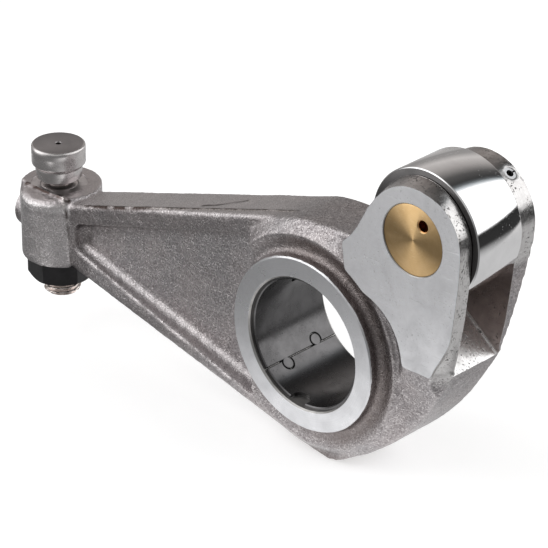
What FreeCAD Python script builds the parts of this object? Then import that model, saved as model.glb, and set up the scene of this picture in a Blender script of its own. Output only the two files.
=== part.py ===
import FreeCAD, Part
import math
import os

from FreeCAD import Vector

# Rocker arm of a large engine: a cast arm on a bushed shaft bore, a roller in a fork at one end and
# an adjusting screw with a ball and a swivel foot at the other.
# Frame: the origin is the centre of the shaft bore, +Y runs along the bore, +X points from the
# screw to the roller, and +Z points the way the foot and the roller face. Lengths are millimetres
# and angles are degrees. Outlines in the side view are written as (x, z).

os.makedirs("parts", exist_ok=True)

# Shaft bore, ring faces and bushing
SHAFT_R = 20.0
BUSH_WALL = 1.0
BUSH_RECESS = 1.25
BUSH_CHAMFER = 0.3
BUSH_SEAM = 0.25
SEAM_ANGLE = -137.0
LOOP_R = 2.0
LOOP_RISE = 1.3
LOOP_PLACE = 6.9
FEED_ANGLE = -97.0
FEED_R = 3.0
FEED_END = 4.6
RING_HALF = 16.1
RING_WALL = 6.45
RING_CHAMFER = 0.35
RING_FLARE = 1.1
BORE_R = SHAFT_R + BUSH_WALL
RING_R = BORE_R + RING_WALL
BUSH_HALF = RING_HALF - BUSH_RECESS

# Hub disc around the ring and the relief between the ring and the rest of the casting
HUB_RIM = 3.8
HUB_RIM_HALF = 9.6
HUB_SHOULDER_HALF = 13.2
RELIEF_HALF = 12.1
RELIEF_FLOOR = 2.05
RELIEF_SLOPE = 3.0
RELIEF_R = RING_R + RING_FLARE + RELIEF_FLOOR
HUB_SHOULDER_R = RELIEF_R + RELIEF_SLOPE
HUB_R = HUB_SHOULDER_R + HUB_RIM

# Arm: an I-section whose flanges run from the boss to the hub
BAND_HALF = 10.0
BAND_HALF_AT_BOSS = 6.7
TOP_TILT = 17.0
BOTTOM_TILT = 11.9
WEB_HALF = 3.4
POCKET_FILLET = 3.0
POCKET_CORNER = 3.5
POCKET_END_HEIGHT = 8.53
POCKET_RIGHT = -23.5
TOP_FLANGE_AT_BOSS = 6.85
TOP_FLANGE_AT_HUB = 6.1
BOTTOM_FLANGE_AT_BOSS = 7.3
BOTTOM_FLANGE_AT_HUB = 2.9
BAND_BEVEL = 0.8

# Outer outline of the hub top and of the heel below the fork
TOP_TURN_X = -13.0
TOP_BEND = (-4.0, HUB_R - 0.3)
TOP_END = (5.0, HUB_R + 0.2)
NECK = (14.4, HUB_R + 0.7)
NECK_MID = (17.3, HUB_R + 3.6)
NECK_END = (20.3, HUB_R + 7.5)
NECK_ROOT = (15.5, HUB_R - 7.3)
HEEL_START_X = 2.0
HEEL_BEND = (8.2, -HUB_R - 0.6)
HEEL_LOW = (13.0, 1.7 - HUB_R)
HEEL_MID = (33.0, -21.2)
HEEL_TOP = (52.7, 6.8)
EDGE_MID = (56.0, 23.5)

# Fork, roller and roller pin
PIN_X = 40.85
PIN_Z = 47.65
PIN_R = 10.9
NEAR_EAR_FACE = 14.63
FAR_EAR_FACE = 17.5
EAR_R = 17.2
EAR_SHIFT = 0.4
SLOT_HALF = 9.7
FLOOR_OFFSET = HUB_R + 0.65
FLOOR_ANGLE = 51.9
NEAR_FLANK = (7.2, 18.3)
FAR_FLANK = (41.0, 10.9)
EAR_RELIEF_X = 18.5
EAR_RELIEF_Z = 6.1
EAR_RELIEF_R = 19.6
EAR_RELIEF_SLOPE = 52.0
ROLLER_R = 19.9
ROLLER_SIDE_GAP = 0.32
ROLLER_CHAMFER = 0.9
ROLLER_RUN = 0.05
PIN_RECESS = 0.2
PIN_CHAMFER = 0.3
PIN_OIL_R = 1.75
PIN_OIL_OFFSET = 6.4
PIN_OIL_ANGLE = 57.0
PIN_CROSS_R = 1.25
LOCK_R = 2.0
LOCK_ANGLE = 54.0
LOCK_OFF_MIDDLE = 1.2
LOCK_WALL = 0.9
LOCK_GAP = 0.5
LOCK_DEPTH = 2.2
LOCK_RECESS = 0.2

# Boss, adjusting screw, lock nut and swivel foot
SCREW_X = -119.6
BOSS_R = 12.9
BOSS_SHIFT = (0.2, 0.5)
BOSS_TOP = 7.66
BOSS_SHOULDER = 0.9
BOSS_BOTTOM = -15.12
BOSS_BEVEL = 1.1
PAD_R = 6.3
PAD_FACE_X = -134.0
PAD_Z = -5.0
PAD_SKIRT = 9.5
PAD_SKIRT_START = 3.8
PAD_SKIRT_HALF = 5.0
SCREW_R = 5.95
SCREW_RUN = 0.05
SCREW_END = -29.9
SCREW_CHAMFER = 0.9
SOCKET_AF = 6.0
SOCKET_DEPTH = 5.0
NUT_AF = 19.0
NUT_HEIGHT = 9.4
NUT_ANGLE = 43.0
NUT_CHAMFER = 30.0
NUT_FACE_R = 9.1
NUT_SEAT_GAP = 0.6
BALL_R = 5.1
BALL_RUN = 0.05
BALL_Z = 14.2
BALL_CONE = 3.7
NECK_R = 3.5
NECK_STEP = 0.3
FOOT_TOP = 21.33
FOOT_R = 8.6
FOOT_HEIGHT = 11.4
FOOT_BAND = 6.2
FOOT_EDGE = 0.5
FOOT_LOWER_R = 7.4
FOOT_BOTTOM_R = 6.4
FOOT_LIP = 1.6
FOOT_MOUTH_R = 4.85
FOOT_SEAT_R = 2.2
FOOT_STEP = 1.2
FOOT_OIL_R = 0.9

# Oil ways
GALLERY_R = 1.5
GALLERY_TILT = 7.1
GALLERY_ANGLE = 150.0
GALLERY_LEAD = 2.0
PASSAGE_R = 0.8
PASSAGE_WALL = 0.5
SCREW_OIL_R = 1.25
PLUG_R = 3.0
PLUG_LENGTH = 4.0
PLUG_RECESS = 0.4
PLUG_HOLLOW_R = 1.65
PLUG_START = GALLERY_LEAD + PLUG_RECESS
PLUG_END = PLUG_START + PLUG_LENGTH
FAR = 300.0
PASSAGE_Y = SLOT_HALF + PASSAGE_WALL + PASSAGE_R
LOCK_Y = (SLOT_HALF + FAR_EAR_FACE) / 2 + LOCK_OFF_MIDDLE
DEEP = 2 * RING_HALF
SCREW_OIL_Z = PAD_Z + (SCREW_X - PAD_FACE_X) * math.tan(math.radians(GALLERY_TILT))


def point(x, z, y=0.0):
    return Vector(x, y, z)


def along(angle, length=1.0):
    """The side-view vector of that length at that angle above +X, as (x, z)."""
    turn = math.radians(angle)
    return length * math.cos(turn), length * math.sin(turn)


def outline(start, *steps):
    """A closed side-view face. A step is an end point, or a pair: a point on the arc and its end."""
    edges = []
    last = start
    for step in steps + (start,):
        if isinstance(step[0], tuple):
            middle, end = step
            edges.append(Part.Arc(point(*last), point(*middle), point(*end)).toShape())
        else:
            end = step
            edges.append(Part.LineSegment(point(*last), point(*end)).toShape())
        last = end
    return Part.Face(Part.Wire(edges))


def rounded(corners, radius):
    """A closed side-view face through these corners, each rounded to the radius."""
    steps = []
    count = len(corners)
    for i, corner in enumerate(corners):
        here = Vector(*corner, 0)
        to_last = (Vector(*corners[i - 1], 0) - here).normalize()
        to_next = (Vector(*corners[(i + 1) % count], 0) - here).normalize()
        half = to_last.getAngle(to_next) / 2
        start = here + to_last * (radius / math.tan(half))
        end = here + to_next * (radius / math.tan(half))
        bisector = (to_last + to_next).normalize()
        middle = here + bisector * (radius / math.sin(half) - radius)
        steps += [(start.x, start.y), ((middle.x, middle.y), (end.x, end.y))]
    return outline(*steps)


def slab(face, y_from, y_to):
    """A side-view face made into a solid between two places along the bore."""
    moved = face.copy()
    moved.translate(Vector(0, y_from, 0))
    return moved.extrude(Vector(0, y_to - y_from, 0))


def turned_y(points, x=0.0, z=0.0):
    """A solid turned round the Y direction at (x, z) from (radius, y) points."""
    corners = [Vector(x + r, y, z) for r, y in points]
    face = Part.Face(Part.makePolygon(corners + corners[:1]))
    return face.revolve(Vector(x, 0, z), Vector(0, 1, 0), 360)


def turned_z(points, x=SCREW_X):
    """A solid turned round the screw's axis from (radius, z) points."""
    corners = [Vector(x + r, 0, z) for r, z in points]
    face = Part.Face(Part.makePolygon(corners + corners[:1]))
    return face.revolve(Vector(x, 0, 0), Vector(0, 0, 1), 360)


def rod_y(radius, y_from, y_to, x=0.0, z=0.0):
    return Part.makeCylinder(radius, y_to - y_from, Vector(x, y_from, z), Vector(0, 1, 0))


def rod_z(radius, z_from, z_to, x=SCREW_X):
    return Part.makeCylinder(radius, z_to - z_from, Vector(x, 0, z_from), Vector(0, 0, 1))


def mirrored(shape):
    """The shape's mirror image across the middle plane of the arm."""
    return shape.mirror(Vector(0, 0, 0), Vector(0, 1, 0))


def both_sides(shape):
    return shape.fuse(mirrored(shape))


def top_line(x):
    """Height of the arm's top face, which is tangent to the hub."""
    tilt = math.radians(TOP_TILT)
    return (HUB_R + x * math.sin(tilt)) / math.cos(tilt)


def bottom_line(x):
    """Height of the arm's bottom face, which is tangent to the hub."""
    tilt = math.radians(BOTTOM_TILT)
    return -(HUB_R + x * math.sin(tilt)) / math.cos(tilt)


def arm_band():
    """The arm and the middle of the hub: a side outline, narrowed in plan towards the boss."""
    side = outline(
        (SCREW_X, top_line(SCREW_X)),
        (TOP_TURN_X, top_line(TOP_TURN_X)),
        (TOP_BEND, TOP_END),
        NECK,
        HEEL_TOP,
        (HEEL_MID, HEEL_LOW),
        (HEEL_BEND, (HEEL_START_X, bottom_line(HEEL_START_X))),
        (SCREW_X, bottom_line(SCREW_X)),
    )
    half = BAND_HALF
    plan_points = [
        Vector(SCREW_X, -BAND_HALF_AT_BOSS, -FAR), Vector(TOP_TURN_X, -half, -FAR),
        Vector(FAR, -half, -FAR), Vector(FAR, half, -FAR),
        Vector(TOP_TURN_X, half, -FAR), Vector(SCREW_X, BAND_HALF_AT_BOSS, -FAR),
    ]
    plan = Part.Face(Part.makePolygon(plan_points + plan_points[:1])).extrude(Vector(0, 0, 2 * FAR))
    band = slab(side, -DEEP, DEEP).common(plan)
    rims = [e for e in band.Edges if e.BoundBox.YLength < BAND_HALF and e.BoundBox.XLength > HEEL_LOW[0]]
    return band.makeChamfer(BAND_BEVEL, rims)


def pocket_left():
    """Where the flanges have come so near each other that the pocket ends."""
    top, bottom = math.radians(TOP_TILT), math.radians(BOTTOM_TILT)
    height = TOP_FLANGE_AT_BOSS + POCKET_END_HEIGHT + BOTTOM_FLANGE_AT_BOSS
    at_bore = HUB_R / math.cos(top) + HUB_R / math.cos(bottom)
    return (height - at_bore) / (math.tan(top) + math.tan(bottom))


def pocket():
    """The triangular recess between the flanges on one side, with a rounded floor."""
    left, right = pocket_left(), POCKET_RIGHT
    face = rounded([
        (left, top_line(left) - TOP_FLANGE_AT_BOSS),
        (right, top_line(right) - TOP_FLANGE_AT_HUB),
        (right, bottom_line(right) + BOTTOM_FLANGE_AT_HUB),
        (left, bottom_line(left) + BOTTOM_FLANGE_AT_BOSS),
    ], POCKET_CORNER)
    tool = slab(face, -WEB_HALF, -DEEP)
    floor = [e for e in tool.Edges if e.BoundBox.YMin > -WEB_HALF - POCKET_FILLET]
    return tool.makeFillet(POCKET_FILLET, floor)


def hub_disc():
    """The thick disc round the bore, with a sloping shoulder towards its rim."""
    return turned_y([
        (0, -HUB_SHOULDER_HALF), (HUB_SHOULDER_R, -HUB_SHOULDER_HALF), (HUB_R, -HUB_RIM_HALF),
        (HUB_R, HUB_RIM_HALF), (HUB_SHOULDER_R, HUB_SHOULDER_HALF), (0, HUB_SHOULDER_HALF),
    ])


def hub_relief():
    """What is taken away between the ring and the rest of the casting on one side."""
    return turned_y([
        (0, -RELIEF_HALF), (RELIEF_R, -RELIEF_HALF), (HUB_SHOULDER_R, -HUB_SHOULDER_HALF),
        (HUB_SHOULDER_R, -DEEP), (0, -DEEP),
    ])


def ring_barrel():
    """The barrel round the bore, ending in a machined ring face on each side."""
    profile = [(0, -RING_HALF), (RING_R - RING_CHAMFER, -RING_HALF), (RING_R, RING_CHAMFER - RING_HALF),
               (RING_R, -RELIEF_HALF - RING_FLARE), (RING_R + RING_FLARE, -RELIEF_HALF)]
    profile += [(r, -y) for r, y in reversed(profile)]
    return turned_y(profile)


def tangent_point(x, z, centre_x, centre_z, radius, side):
    """Where a line from (x, z) touches a circle, on its left (+1) or right (-1) as seen from there."""
    reach = math.hypot(centre_x - x, centre_z - z)
    heading = math.degrees(math.atan2(centre_z - z, centre_x - x))
    offset = math.degrees(math.asin(radius / reach))
    dx, dz = along(heading + side * offset, math.sqrt(reach ** 2 - radius ** 2))
    return x + dx, z + dz


def fork_cheek(y_outer):
    """One half of the fork, from the middle plane to an ear's outer face, down to the heel."""
    centre_x, centre_z = PIN_X + EAR_SHIFT, PIN_Z
    start = tangent_point(*NECK_END, centre_x, centre_z, EAR_R, 1)
    top = (centre_x, centre_z + EAR_R)
    right = (centre_x + EAR_R, centre_z)
    face = outline(
        NECK, (NECK_MID, NECK_END), start, (top, right), (EDGE_MID, HEEL_TOP),
        (HEEL_MID, HEEL_LOW), (0, 0), (EAR_RELIEF_X - EAR_RELIEF_R / 2, EAR_RELIEF_Z + EAR_RELIEF_R / 2),
        (EAR_RELIEF_X, EAR_RELIEF_Z + EAR_RELIEF_R), NECK_ROOT,
    )
    return slab(face, 0, y_outer)


def ear_relief(face_y):
    """The dished side of an ear towards the ring, at y below 0."""
    slope = math.tan(math.radians(EAR_RELIEF_SLOPE))
    depth = face_y - RELIEF_HALF
    return turned_y([
        (0, -RELIEF_HALF), (EAR_RELIEF_R - depth * slope, -RELIEF_HALF), (EAR_RELIEF_R, -face_y),
        (EAR_RELIEF_R, -DEEP), (0, -DEEP),
    ], EAR_RELIEF_X, EAR_RELIEF_Z)


def flank_cut(face_y, top, tilt):
    """The flank that slopes inwards below that height on an ear's side, at y below 0."""
    low = -2 * HUB_R
    lean = (top - low) * math.tan(math.radians(tilt))
    corners = [
        Vector(-FAR, -face_y, top), Vector(-FAR, -face_y + lean, low),
        Vector(-FAR, -FAR, low), Vector(-FAR, -FAR, top),
    ]
    return Part.Face(Part.makePolygon(corners + corners[:1])).extrude(Vector(2 * FAR, 0, 0))


def slot():
    """The roller's slot: between the ears, down to a flat floor square to the line to the hub."""
    nx, nz = along(FLOOR_ANGLE)
    foot_x, foot_z = along(FLOOR_ANGLE, FLOOR_OFFSET)
    reach = math.hypot(PIN_X, PIN_Z) + EAR_R
    side_x, side_z = -nz * reach, nx * reach
    up_x, up_z = nx * reach, nz * reach
    face = outline(
        (foot_x - side_x, foot_z - side_z), (foot_x + side_x, foot_z + side_z),
        (foot_x + side_x + up_x, foot_z + side_z + up_z),
        (foot_x - side_x + up_x, foot_z - side_z + up_z),
    )
    return slab(face, -SLOT_HALF, SLOT_HALF)


def fork():
    cheeks = []
    for face_y, flank in ((NEAR_EAR_FACE, NEAR_FLANK), (FAR_EAR_FACE, FAR_FLANK)):
        cheeks.append(fork_cheek(-face_y).cut(ear_relief(face_y)).cut(flank_cut(face_y, *flank)))
    return cheeks[0].fuse(mirrored(cheeks[1]))


def boss():
    """The screw boss: a round post whose near shoulder lies a little lower than the rest of its top."""
    centre = Vector(SCREW_X + BOSS_SHIFT[0], BOSS_SHIFT[1], BOSS_BOTTOM)
    post = Part.makeCylinder(BOSS_R, BOSS_TOP - BOSS_SHOULDER - BOSS_BOTTOM, centre)
    rim = [e for e in post.Edges if e.BoundBox.ZMin > BOSS_BOTTOM + BOSS_BEVEL]
    post = post.makeChamfer(BOSS_BEVEL, rim)
    full = Part.makeCylinder(BOSS_R, BOSS_TOP - BOSS_BOTTOM, centre)
    corner = Vector(SCREW_X - 2 * BOSS_R, -BAND_HALF_AT_BOSS, BOSS_BOTTOM)
    return post.fuse(full.common(Part.makeBox(4 * BOSS_R, 4 * BOSS_R, FAR, corner)))


def gallery(radius, length=FAR):
    """A rod on the oil gallery's line, from just outside the pad's face."""
    dx, dz = along(GALLERY_TILT)
    start = Vector(PAD_FACE_X - GALLERY_LEAD * dx, 0, PAD_Z - GALLERY_LEAD * dz)
    return Part.makeCylinder(radius, length, start, Vector(dx, 0, dz))


def pad():
    """The round pad on the boss's free side, with a skirt that fades into the boss below it."""
    disc = Part.makeCylinder(PAD_R, SCREW_X - PAD_FACE_X, Vector(PAD_FACE_X, 0, PAD_Z), Vector(1, 0, 0))
    skirt = outline((PAD_FACE_X, PAD_Z), (PAD_FACE_X, PAD_Z - PAD_SKIRT_START),
                    (SCREW_X, PAD_Z - PAD_R - PAD_SKIRT), (SCREW_X, PAD_Z))
    skirt = slab(skirt, -PAD_SKIRT_HALF, PAD_SKIRT_HALF).common(rod_z(FAR, BOSS_BOTTOM, BOSS_TOP))
    return disc.fuse(skirt)


def pin_passage():
    """The oil way from the bore to the roller pin, low in the far ear."""
    heading = math.degrees(math.atan2(PIN_Z, PIN_X))
    dx, dz = along(heading)
    reach = math.hypot(PIN_X, PIN_Z)
    return Part.makeCylinder(PASSAGE_R, reach, Vector(0, PASSAGE_Y, 0), Vector(dx, 0, dz))


def lock_rod(radius, start, end):
    """A rod on the pin lock's line, between two distances from the roller pin's axis."""
    dx, dz = along(LOCK_ANGLE)
    place = Vector(PIN_X + dx * start, LOCK_Y, PIN_Z + dz * start)
    return Part.makeCylinder(radius, end - start, place, Vector(dx, 0, dz))


def rocker_body():
    blank = arm_band().fuse(hub_disc()).fuse(fork()).cut(both_sides(hub_relief()))
    blank = blank.cut(both_sides(pocket())).fuse(boss()).fuse(pad()).fuse(ring_barrel())
    bored = blank.cut(slot()).cut(rod_y(BORE_R, -FAR, FAR)).cut(rod_y(PIN_R, -FAR, FAR, PIN_X, PIN_Z))
    bored = bored.cut(rod_z(NUT_AF / math.sqrt(3) + NUT_SEAT_GAP, -FAR, BOSS_BOTTOM))
    bored = bored.cut(rod_z(SCREW_R + SCREW_RUN, -FAR, FAR)).cut(gallery(GALLERY_R, -SCREW_X))
    bored = bored.cut(gallery(PLUG_R, PLUG_END))
    bored = bored.cut(pin_passage()).cut(lock_rod(LOCK_R, PIN_R - LOCK_DEPTH, 2 * EAR_R))
    return bored.removeSplitter()


def seam_path(width):
    """The seam between the strip's two ends, as a cut of that width along +X through the wall."""
    span = math.sqrt(LOOP_R ** 2 - LOOP_RISE ** 2)
    stops = [-BUSH_HALF - 1, -LOOP_PLACE - span, -LOOP_PLACE + span, LOOP_PLACE - span, LOOP_PLACE + span,
             BUSH_HALF + 1]
    cut = None
    for y_from, y_to in zip(stops[0::2], stops[1::2]):
        run = Part.makeBox(BORE_R * 2, y_to - y_from, width, Vector(0, y_from, -width / 2))
        cut = run if cut is None else cut.fuse(run)
    for place, side in ((-LOOP_PLACE, 1), (LOOP_PLACE, -1)):
        centre = Vector(0, place, side * LOOP_RISE)
        loop = Part.makeCylinder(LOOP_R + width / 2, BORE_R * 2, centre, Vector(1, 0, 0))
        loop = loop.cut(Part.makeCylinder(LOOP_R - width / 2, BORE_R * 2, centre, Vector(1, 0, 0)))
        low = -width / 2 if side > 0 else -FAR + width / 2
        cut = cut.fuse(loop.common(Part.makeBox(BORE_R * 2, 4 * LOOP_R, FAR,
                                                Vector(0, place - 2 * LOOP_R, low))))
    return cut


def feed_notch():
    """The oil feed notch at the bushing's near end, along +X through the wall."""
    round_y = -BUSH_HALF + FEED_END - FEED_R
    notch = Part.makeCylinder(FEED_R, BORE_R * 2, Vector(0, round_y, 0), Vector(1, 0, 0))
    corner = Vector(0, round_y - FEED_R * 2, -FEED_R)
    return notch.fuse(Part.makeBox(BORE_R * 2, FEED_R * 2, FEED_R * 2, corner))


def swung(shape, angle):
    """The shape turned round the bore's axis from +X to that angle towards +Z."""
    shape.rotate(Vector(0, 0, 0), Vector(0, 1, 0), -angle)
    return shape


def shaft_bushing():
    """A rolled strip bushing whose ends lock together in loops along one seam."""
    tube = rod_y(BORE_R, -BUSH_HALF, BUSH_HALF).cut(rod_y(SHAFT_R, -FAR, FAR))
    bevel = turned_y([(0, -BUSH_HALF), (SHAFT_R + BUSH_CHAMFER, -BUSH_HALF),
                      (0, -BUSH_HALF + SHAFT_R + BUSH_CHAMFER)])
    tube = tube.cut(both_sides(bevel)).cut(swung(seam_path(BUSH_SEAM), SEAM_ANGLE))
    tube = tube.cut(swung(feed_notch(), FEED_ANGLE))
    gallery_hole = Part.makeCylinder(GALLERY_R, BORE_R * 2, Vector(0, 0, 0), Vector(1, 0, 0))
    return tube.cut(swung(gallery_hole, GALLERY_ANGLE)).cut(pin_passage())


def roller():
    half, edge, inner = SLOT_HALF - ROLLER_SIDE_GAP, ROLLER_CHAMFER, PIN_R + ROLLER_RUN
    return turned_y([
        (inner, -half), (ROLLER_R - edge, -half), (ROLLER_R, -half + edge), (ROLLER_R, half - edge),
        (ROLLER_R - edge, half), (inner, half),
    ], PIN_X, PIN_Z)


def roller_pin():
    """The bronze pin: oil comes in from the far ear, along a drilling, and out under the roller."""
    near, far, edge = PIN_RECESS - NEAR_EAR_FACE, FAR_EAR_FACE - PIN_RECESS, PIN_CHAMFER
    pin = turned_y([(0, near), (PIN_R - edge, near), (PIN_R, near + edge), (PIN_R, far - edge),
                    (PIN_R - edge, far), (0, far)], PIN_X, PIN_Z)
    dx, dz = along(PIN_OIL_ANGLE, PIN_OIL_OFFSET)
    hole_x, hole_z = PIN_X + dx, PIN_Z + dz
    pin = pin.cut(rod_y(PIN_OIL_R, near, PASSAGE_Y + PIN_OIL_R, hole_x, hole_z))
    pin = pin.cut(turned_y([(0, near), (PIN_OIL_R + edge, near), (0, near + PIN_OIL_R + edge)],
                           hole_x, hole_z))
    inlet = Vector(hole_x, PASSAGE_Y, hole_z)
    pin = pin.cut(Part.makeCylinder(PASSAGE_R, 2 * PIN_R, inlet, Vector(-hole_x, 0, -hole_z)))
    outlet = Vector(hole_x, 0, hole_z)
    pin = pin.cut(Part.makeCylinder(PIN_CROSS_R, PIN_R, outlet, Vector(dx, 0, dz)))
    return pin.cut(lock_rod(LOCK_R, PIN_R - LOCK_DEPTH, 2 * PIN_R))


def pin_lock():
    """A slotted spring pin, driven through the far ear into the roller pin."""
    dx, _ = along(LOCK_ANGLE)
    ear_reach = EAR_R + EAR_SHIFT * dx - LOCK_RECESS
    sleeve = lock_rod(LOCK_R, PIN_R - LOCK_DEPTH, ear_reach)
    sleeve = sleeve.cut(lock_rod(LOCK_R - LOCK_WALL, 0, 2 * EAR_R))
    gap = Part.makeBox(2 * EAR_R, LOCK_R * 2, LOCK_GAP, Vector(0, 0, -LOCK_GAP / 2))
    gap.rotate(Vector(0, 0, 0), Vector(0, 1, 0), -LOCK_ANGLE)
    gap.translate(Vector(PIN_X, LOCK_Y, PIN_Z))
    return sleeve.cut(gap)


def hexagon(across_flats, z_from, z_to, angle=0.0):
    """A hexagonal prism on the screw's axis, with a corner at that angle."""
    reach = across_flats / math.sqrt(3)
    turns = [along(angle + 60 * i, reach) for i in range(7)]
    corners = [Vector(SCREW_X + dx, dy, z_from) for dx, dy in turns]
    return Part.Face(Part.makePolygon(corners)).extrude(Vector(0, 0, z_to - z_from))


def half_ball():
    """The upper half of the ball that the foot tilts on."""
    ball = Part.makeSphere(BALL_R, Vector(SCREW_X, 0, BALL_Z))
    return ball.common(rod_z(2 * BALL_R, BALL_Z, BALL_Z + 2 * BALL_R))


def adjusting_screw():
    """The stud, with a half ball and its cone on top, an oil way and a hexagon socket below."""
    stud = turned_z([
        (0, BALL_Z), (BALL_R, BALL_Z), (NECK_R, BALL_Z - BALL_CONE), (NECK_R, BOSS_TOP + NECK_STEP),
        (SCREW_R, BOSS_TOP - NECK_STEP), (SCREW_R, SCREW_END + SCREW_CHAMFER),
        (SCREW_R - SCREW_CHAMFER, SCREW_END), (0, SCREW_END),
    ])
    stud = stud.fuse(half_ball())
    stud = stud.cut(hexagon(SOCKET_AF, SCREW_END, SCREW_END + SOCKET_DEPTH))
    stud = stud.cut(rod_z(SCREW_OIL_R, SCREW_OIL_Z - SCREW_OIL_R, BALL_Z + 2 * BALL_R))
    cross = Part.makeCylinder(SCREW_OIL_R, 4 * SCREW_R, Vector(SCREW_X - 2 * SCREW_R, 0, SCREW_OIL_Z),
                              Vector(1, 0, 0))
    return stud.cut(cross).removeSplitter()


def lock_nut():
    top, low = BOSS_BOTTOM, BOSS_BOTTOM - NUT_HEIGHT
    corner_r = NUT_AF / math.sqrt(3)
    drop = (corner_r - NUT_FACE_R) * math.tan(math.radians(NUT_CHAMFER))
    hull = turned_z([(0, top), (corner_r, top), (corner_r, low + drop), (NUT_FACE_R, low), (0, low)])
    return hexagon(NUT_AF, low, top, NUT_ANGLE).common(hull).cut(rod_z(SCREW_R + SCREW_RUN, low, top))


def swivel_foot():
    """The hardened foot: a flat-topped cup with a conical seat, closed in under the ball."""
    low = FOOT_TOP - FOOT_HEIGHT
    band_low = FOOT_TOP - FOOT_BAND
    hollow = BALL_R + BALL_RUN
    cup = turned_z([
        (0, FOOT_TOP), (FOOT_R - FOOT_EDGE, FOOT_TOP), (FOOT_R, FOOT_TOP - FOOT_EDGE), (FOOT_R, band_low),
        (FOOT_LOWER_R, band_low - FOOT_STEP), (FOOT_BOTTOM_R, low), (0, low),
    ])
    tangent = hollow * (math.sqrt(2) - 1)
    seat = turned_z([
        (0, BALL_Z + tangent + hollow - FOOT_SEAT_R), (FOOT_SEAT_R, BALL_Z + tangent + hollow - FOOT_SEAT_R),
        (hollow, BALL_Z + tangent), (hollow, low + FOOT_LIP), (FOOT_MOUTH_R, low), (0, low),
    ])
    return cup.cut(seat).cut(rod_z(FOOT_OIL_R, BALL_Z, FOOT_TOP))


def oil_gallery_plug():
    """The cup plug that closes the gallery's end."""
    plug = gallery(PLUG_R, PLUG_END).cut(gallery(PLUG_R, PLUG_START))
    return plug.cut(gallery(PLUG_HOLLOW_R, PLUG_START + PLUG_LENGTH / 2))


SUB_PARTS = [rocker_body, shaft_bushing, roller, roller_pin, pin_lock, adjusting_screw, lock_nut,
             swivel_foot, oil_gallery_plug]

for make in SUB_PARTS:
    shape = make()
    assert shape.isValid() and len(shape.Solids) == 1, make.__name__
    shape.exportStep(os.path.join("parts", make.__name__ + ".step"))
    print(make.__name__, round(shape.Volume), "mm3")
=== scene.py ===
import math

import bmesh
import bpy
import numpy as np
from mathutils import Matrix, Vector, noise


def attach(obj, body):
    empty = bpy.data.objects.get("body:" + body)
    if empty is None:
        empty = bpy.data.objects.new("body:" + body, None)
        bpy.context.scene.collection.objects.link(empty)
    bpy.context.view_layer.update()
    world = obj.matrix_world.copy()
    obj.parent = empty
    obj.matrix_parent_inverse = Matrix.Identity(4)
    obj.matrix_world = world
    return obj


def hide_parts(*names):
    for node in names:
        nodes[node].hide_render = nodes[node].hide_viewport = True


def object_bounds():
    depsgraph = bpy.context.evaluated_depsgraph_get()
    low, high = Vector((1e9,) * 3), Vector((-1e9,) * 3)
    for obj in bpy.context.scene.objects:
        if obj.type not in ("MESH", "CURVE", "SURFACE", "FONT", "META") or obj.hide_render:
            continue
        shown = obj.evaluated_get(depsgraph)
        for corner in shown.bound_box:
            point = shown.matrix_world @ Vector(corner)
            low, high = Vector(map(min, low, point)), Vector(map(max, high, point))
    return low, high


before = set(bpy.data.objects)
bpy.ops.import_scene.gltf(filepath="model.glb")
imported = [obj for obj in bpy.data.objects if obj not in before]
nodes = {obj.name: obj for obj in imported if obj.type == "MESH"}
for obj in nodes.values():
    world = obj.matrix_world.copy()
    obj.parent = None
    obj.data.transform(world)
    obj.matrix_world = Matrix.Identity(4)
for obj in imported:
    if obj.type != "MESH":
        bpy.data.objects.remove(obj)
cad_box = [list(corner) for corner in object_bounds()]
MM = 0.001

# Sizes of the solids, in millimetres, for the machined faces and fits that are made again here.
BORE_R, BORE_CHAMFER = 21.0, 0.45
RING_HALF, RING_FACE_R = 16.1, 27.1
RING_FOOT_HALF, RING_FOOT_R, RING_CUT_R = 14.6, 28.6, 30.4
PIN_X, PIN_Z, PIN_R, PIN_CHAMFER = 40.85, 47.65, 10.9, 0.22
ROLLER_R, ROLLER_HALF, ROLLER_CHAMFER = 19.9, 9.38, 0.36
NEAR_EAR, FAR_EAR, SLOT_HALF = 14.63, 17.5, 9.7
EAR_X, EAR_RELIEF_R = PIN_X + 0.4, 29.5
FLOOR_OFFSET, FLOOR_ANGLE, CORNER_STEP = 38.05, math.radians(51.9), 0.45
FLOOR_NORMAL = (math.cos(FLOOR_ANGLE), 0, math.sin(FLOOR_ANGLE))
SCREW_X, SCREW_R, BOSS_TOP, BOSS_BOTTOM = -119.6, 5.95, 7.66, -15.12
SCREW_LOW, THREAD_END, SHOULDER, HEXAGON_FLATS, DRILL_R = -29.9, -8.0, 7.36, 6.0, 1.25
BALL_R, BALL_Z, NECK_R = 5.1, 14.2, 3.5
NUT_SEAT_R, TOP_SEAT_R, TOP_SEAT_DEPTH = 11.57, 9.0, 0.12
PAD_FACE_X, PAD_Z, PAD_R = -134.0, -5.0, 8.5
GALLERY_TILT, GALLERY_R = math.radians(7.1), 3.0
OIL_ANGLE, OIL_PLACE, OIL_R, OIL_SINK_R = math.radians(57.0), 6.4, 1.75, 4.1
LOCK_ANGLE, LOCK_Y, LOCK_R, LOCK_START = math.radians(54.0), 14.8, 2.0, 8.7
FEED_DRILLING = ((0, 10.4, 0), (0.9 * PIN_X, 11.2, 0.9 * PIN_Z))
SEAM_ANGLE = math.radians(-137)
LOOP_R, LOOP_RISE, LOOP_PLACE = 2, 1.3, 6.9

# How the cast skin is made: the stock on each face that is cut and how deep the stock is rooted, the
# grain of the remesh, the skin that smoothing takes off, and each wave's size and height.
STOCK, ROOT = 1.4, 0.8
VOXEL, SMOOTHING = 0.62, 5
SKIN_LOSS = 0.13
WAVES = ((9.0, 0.10), (3.1, 0.07), (1.3, 0.035))
RIDGE_HEIGHT, RIDGE_WIDTH = 0.35, 0.6
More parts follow.
